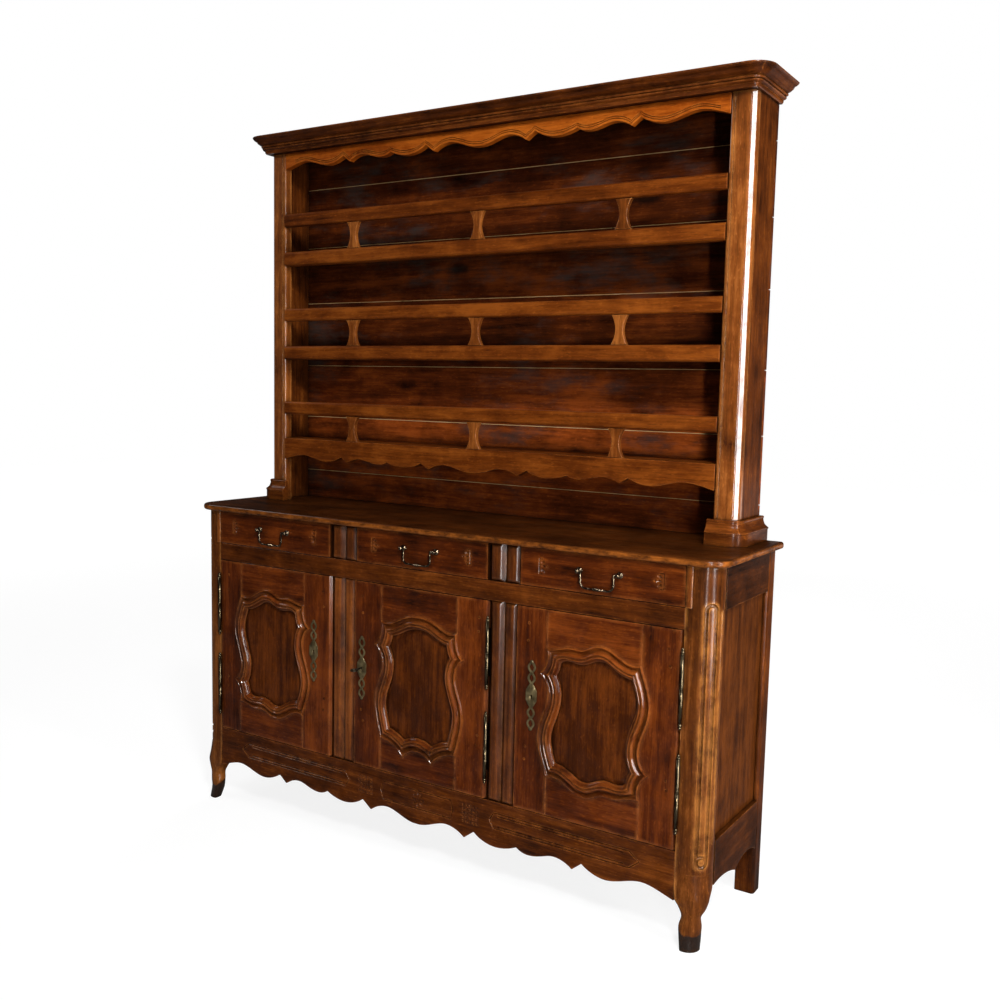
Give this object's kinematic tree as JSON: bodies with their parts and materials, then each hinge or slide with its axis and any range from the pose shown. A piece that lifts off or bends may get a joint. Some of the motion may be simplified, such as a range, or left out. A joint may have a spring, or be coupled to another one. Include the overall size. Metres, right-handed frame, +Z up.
{
  "type": "kitchen dresser",
  "caption": "Free-standing oak dresser: a cupboard base with moulded panel doors, drawers, shaped apron and cabriole feet, carrying an open plate rack with guard rails and cornice.",
  "frame": {"origin": "on the floor, on the middle plane, midway between the key's bow and the back boards", "axes": "+X to the right seen from the front, +Y to the back, +Z up"},
  "size_m": [1.906, 0.5, 2.3],
  "materials": {
    "oak": "dark oiled and waxed oak, worn bright on rounded edges",
    "oak_top": "dark oak worn by use, with a pale worn edge",
    "oak_boards": "dull stained boards",
    "oak_inside": "bare unfinished oak",
    "hinge_steel": "old polished steel",
    "handle_iron": "dark iron, rubbed bright",
    "plate_iron": "dull grey iron",
    "key_iron": "dark iron"
  },
  "bodies": {
    "carcass": {"corner_stiles": "oak", "rear_stiles": "oak", "side_rails": "oak", "side_panels": "oak", "front_muntins": "oak", "middle_rail": "oak", "apron_rail": "oak", "base_back_boards": "oak_boards", "cupboard_floor": "oak_inside", "cupboard_shelf": "oak_inside", "shelf_cleats": "oak_inside", "drawer_runners": "oak_inside", "top_board": "oak_top", "hinge_pins": "hinge_steel", "rack_stiles": "oak", "rack_side_boards": "oak", "rack_plinth_mouldings": "oak", "rack_frieze": "oak", "rack_cornice": "oak", "rack_dust_board": "oak_boards", "rack_back_boards": "oak_boards", "rack_shelves": "oak", "rack_shelf_fronts": "oak", "rack_guard_rails": "oak", "rack_balusters": "oak"},
    "door_left": {"door_left_stiles": "oak", "door_left_rails": "oak", "door_left_panel": "oak", "door_left_knuckles": "hinge_steel", "door_left_key_plate": "plate_iron", "door_left_lock_case": "plate_iron"},
    "bolt_left": {"door_left_lock_bolt": "plate_iron"},
    "door_middle": {"door_middle_stiles": "oak", "door_middle_rails": "oak", "door_middle_panel": "oak", "door_middle_knuckles": "hinge_steel", "door_middle_key_plate": "plate_iron", "door_middle_lock_case": "plate_iron"},
    "bolt_middle": {"door_middle_lock_bolt": "plate_iron"},
    "door_right": {"door_right_stiles": "oak", "door_right_rails": "oak", "door_right_panel": "oak", "door_right_knuckles": "hinge_steel", "door_right_key_plate": "plate_iron", "door_right_lock_case": "plate_iron"},
    "bolt_right": {"door_right_lock_bolt": "plate_iron"},
    "key": {"key": "key_iron"},
    "drawer_left": {"drawer_left_front": "oak", "drawer_left_box": "oak_inside", "drawer_left_handle_posts": "handle_iron"},
    "bail_left": {"drawer_left_bail": "handle_iron"},
    "drawer_middle": {"drawer_middle_front": "oak", "drawer_middle_box": "oak_inside", "drawer_middle_handle_posts": "handle_iron"},
    "bail_middle": {"drawer_middle_bail": "handle_iron"},
    "drawer_right": {"drawer_right_front": "oak", "drawer_right_box": "oak_inside", "drawer_right_handle_posts": "handle_iron"},
    "bail_right": {"drawer_right_bail": "handle_iron"}
  },
  "joints": [
    {"name": "door_left_hinge", "type": "hinge", "parent": "carcass", "child": "door_left", "pos_m": [-0.8485, -0.2062, 0.557], "axis": [0, 0, -1], "range_deg": [0, 105]},
    {"name": "bolt_left_slide", "type": "slide", "parent": "door_left", "child": "bolt_left", "axis": [1, 0, 0], "range_m": [0, 0.012]},
    {"name": "door_middle_hinge", "type": "hinge", "parent": "carcass", "child": "door_middle", "pos_m": [0.25183, -0.2062, 0.557], "axis": [0, 0, 1], "range_deg": [0, 105]},
    {"name": "bolt_middle_slide", "type": "slide", "parent": "door_middle", "child": "bolt_middle", "axis": [-1, 0, 0], "range_m": [0, 0.012]},
    {"name": "door_right_hinge", "type": "hinge", "parent": "carcass", "child": "door_right", "pos_m": [0.8485, -0.2062, 0.557], "axis": [0, 0, 1], "range_deg": [0, 105]},
    {"name": "bolt_right_slide", "type": "slide", "parent": "door_right", "child": "bolt_right", "axis": [-1, 0, 0], "range_m": [0, 0.012]},
    {"name": "key_turn", "type": "hinge", "parent": "door_middle", "child": "key", "pos_m": [-0.21833, -0.2, 0.575], "axis": [0, -1, 0], "range_deg": [0, 180]},
    {"name": "drawer_left_slide", "type": "slide", "parent": "carcass", "child": "drawer_left", "axis": [0, -1, 0], "range_m": [0, 0.3]},
    {"name": "bail_left_swing", "type": "hinge", "parent": "drawer_left", "child": "bail_left", "pos_m": [-0.60017, -0.215, 0.97], "axis": [-1, 0, 0], "range_deg": [0, 90]},
    {"name": "drawer_middle_slide", "type": "slide", "parent": "carcass", "child": "drawer_middle", "axis": [0, -1, 0], "range_m": [0, 0.3]},
    {"name": "bail_middle_swing", "type": "hinge", "parent": "drawer_middle", "child": "bail_middle", "pos_m": [0, -0.215, 0.97], "axis": [-1, 0, 0], "range_deg": [0, 90]},
    {"name": "drawer_right_slide", "type": "slide", "parent": "carcass", "child": "drawer_right", "axis": [0, -1, 0], "range_m": [0, 0.3]},
    {"name": "bail_right_swing", "type": "hinge", "parent": "drawer_right", "child": "bail_right", "pos_m": [0.60017, -0.215, 0.97], "axis": [-1, 0, 0], "range_deg": [0, 90]}
  ],
  "couplings": [
    {"joint": "key_turn", "follows": "bolt_middle_slide", "rad_per_m": 261.8}
  ]
}
